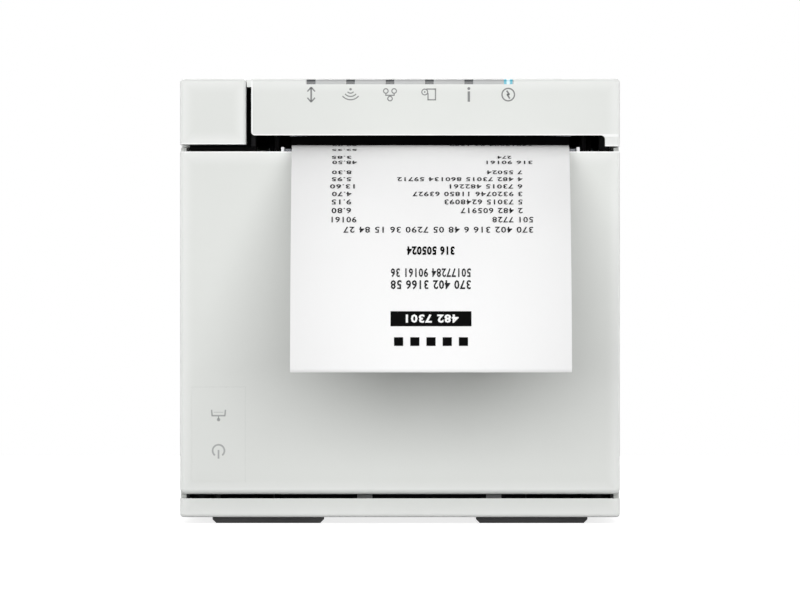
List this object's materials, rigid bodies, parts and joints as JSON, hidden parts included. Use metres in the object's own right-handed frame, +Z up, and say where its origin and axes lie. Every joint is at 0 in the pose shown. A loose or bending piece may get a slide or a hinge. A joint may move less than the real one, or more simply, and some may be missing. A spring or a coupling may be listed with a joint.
{
  "type": "receipt printer",
  "caption": "Cube-shaped thermal receipt printer with a front paper exit, a hinged front cover over the paper roll, a corner open button and status lights.",
  "frame": {"origin": "on the counter under the middle of the body", "axes": "+X to the right seen from the front, +Y to the rear, +Z up"},
  "size_m": [0.127, 0.1756, 0.1284],
  "materials": {
    "white_case": "fine satin texture",
    "foot_rubber": "matte",
    "screw_steel": "satin",
    "bar_grey": "satin",
    "light_window": "smoked",
    "circuit_board": "solder mask",
    "chip_black": "moulded",
    "light_body": "moulded",
    "inner_black": "moulded",
    "white_key": "fine satin texture",
    "sheet_steel": "zinc plated",
    "shaft_steel": "ground",
    "spring_steel": "drawn wire",
    "gear_white": "moulded",
    "motor_can": "plated",
    "pinion_brass": "cut",
    "head_ceramic": "glazed line",
    "sink_aluminium": "extruded",
    "platen_rubber": "ground",
    "blade_steel": "ground",
    "thermal_paper": "smooth",
    "core_card": "wound",
    "socket_black": "moulded",
    "socket_shield": "tinned",
    "bushing_nylon": "moulded"
  },
  "bodies": {
    "main": {"base_tray": "white_case", "rubber_feet": "foot_rubber", "base_screws": "screw_steel", "main_case": "white_case", "top_cover": "white_case", "light_bar": "bar_grey", "light_guides": "light_window", "light_board": "circuit_board", "lights": "light_body", "button_guide": "inner_black", "button_spring": "spring_steel", "feed_motor": "motor_can", "motor_standoffs": "shaft_steel", "motor_screws": "screw_steel", "idler_pin": "shaft_steel", "head_shaft": "shaft_steel", "head_bracket": "sheet_steel", "head_springs": "spring_steel", "left_frame": "sheet_steel", "right_frame": "sheet_steel", "roll_bucket": "inner_black", "cutter_frame": "sheet_steel", "cutter_motor": "motor_can", "main_board": "circuit_board", "board_screws": "screw_steel", "board_parts": "chip_black", "drawer_socket": "socket_black", "power_inlet": "socket_black", "network_socket": "socket_shield", "usb_b_socket": "socket_shield", "usb_a_socket": "socket_shield", "receipt_paper": "thermal_paper"},
    "cover": {"front_cover": "white_case", "key_board": "circuit_board", "key_switches": "chip_black", "hinge_pins": "shaft_steel", "cover_frame": "inner_black", "platen_brackets": "sheet_steel", "platen_bushings": "bushing_nylon", "paper_ramp": "inner_black", "fixed_blade": "blade_steel"},
    "platen": {"platen_roller": "platen_rubber", "platen_shaft": "shaft_steel", "platen_gear": "gear_white"},
    "idler": {"idler_gear": "gear_white"},
    "feed_rotor": {"motor_pinion": "pinion_brass"},
    "roll": {"paper_roll": "thermal_paper", "roll_core": "core_card"},
    "button": {"open_button": "white_key"},
    "lock": {"lock_shaft": "shaft_steel", "lock_hooks": "sheet_steel", "lock_lever": "bushing_nylon"},
    "feed_button": {"feed_key": "white_key"},
    "power_button": {"power_key": "white_key"},
    "head": {"print_head": "head_ceramic", "heat_sink": "sink_aluminium"},
    "cutter": {"cutter_blade": "blade_steel"},
    "cutter_drive": {"cutter_pinion": "pinion_brass"}
  },
  "joints": [
    {"name": "front_cover_hinge", "type": "hinge", "parent": "main", "child": "cover", "pos_m": [-0.0102, -0.0589, 0.0145], "axis": [1, 0, 0], "range_deg": [0, 90], "deforming": ["receipt_paper"]},
    {"name": "paper_roll_spin", "type": "hinge", "parent": "main", "child": "roll", "pos_m": [0.0088, -0.005, 0.0474], "axis": [1, 0, 0], "continuous": true},
    {"name": "platen_spin", "type": "hinge", "parent": "cover", "child": "platen", "pos_m": [0.0088, -0.046, 0.1003], "axis": [1, 0, 0], "continuous": true},
    {"name": "idler_spin", "type": "hinge", "parent": "main", "child": "idler", "pos_m": [-0.04195, -0.03118, 0.09798], "axis": [1, 0, 0], "continuous": true},
    {"name": "feed_motor_spin", "type": "hinge", "parent": "main", "child": "feed_rotor", "pos_m": [-0.04195, -0.02498, 0.08632], "axis": [1, 0, 0], "continuous": true},
    {"name": "open_button_slide", "type": "slide", "parent": "main", "child": "button", "axis": [0, 1, 0], "range_m": [0, 0.002], "stiffness_N_per_m": 600, "springref_m": -0.001, "deforming": ["button_spring"]},
    {"name": "lock_turn", "type": "hinge", "parent": "main", "child": "lock", "pos_m": [-0.0494, -0.031, 0.1158], "axis": [1, 0, 0], "range_deg": [-14.42, 0]},
    {"name": "feed_key_slide", "type": "slide", "parent": "cover", "child": "feed_button", "axis": [0, 1, 0], "range_m": [0, 0.0005], "stiffness_N_per_m": 400, "springref_m": -0.0005},
    {"name": "power_key_slide", "type": "slide", "parent": "cover", "child": "power_button", "axis": [0, 1, 0], "range_m": [0, 0.0005], "stiffness_N_per_m": 400, "springref_m": -0.0005},
    {"name": "print_head_pivot", "type": "hinge", "parent": "main", "child": "head", "pos_m": [0.0088, -0.02831, 0.10363], "axis": [1, 0, 0], "range_deg": [-2.5, 0], "stiffness_Nm_per_rad": 1, "springref_deg": 5.73, "deforming": ["head_springs"]},
    {"name": "cutter_slide", "type": "slide", "parent": "main", "child": "cutter", "axis": [0, 0, -1], "range_m": [0, 0.0042]},
    {"name": "cutter_drive_spin", "type": "hinge", "parent": "main", "child": "cutter_drive", "pos_m": [0.0443, -0.0486, 0.11945], "axis": [1, 0, 0], "range_deg": [0, 69.25]}
  ],
  "couplings": [
    {"joint": "platen_spin", "follows": "paper_roll_spin", "ratio": 6.2667},
    {"joint": "idler_spin", "follows": "paper_roll_spin", "ratio": -4.1778},
    {"joint": "feed_motor_spin", "follows": "paper_roll_spin", "ratio": 8.9524},
    {"joint": "lock_turn", "follows": "open_button_slide", "rad_per_m": -125},
    {"joint": "cutter_drive_spin", "follows": "cutter_slide", "rad_per_m": 285.71}
  ]
}
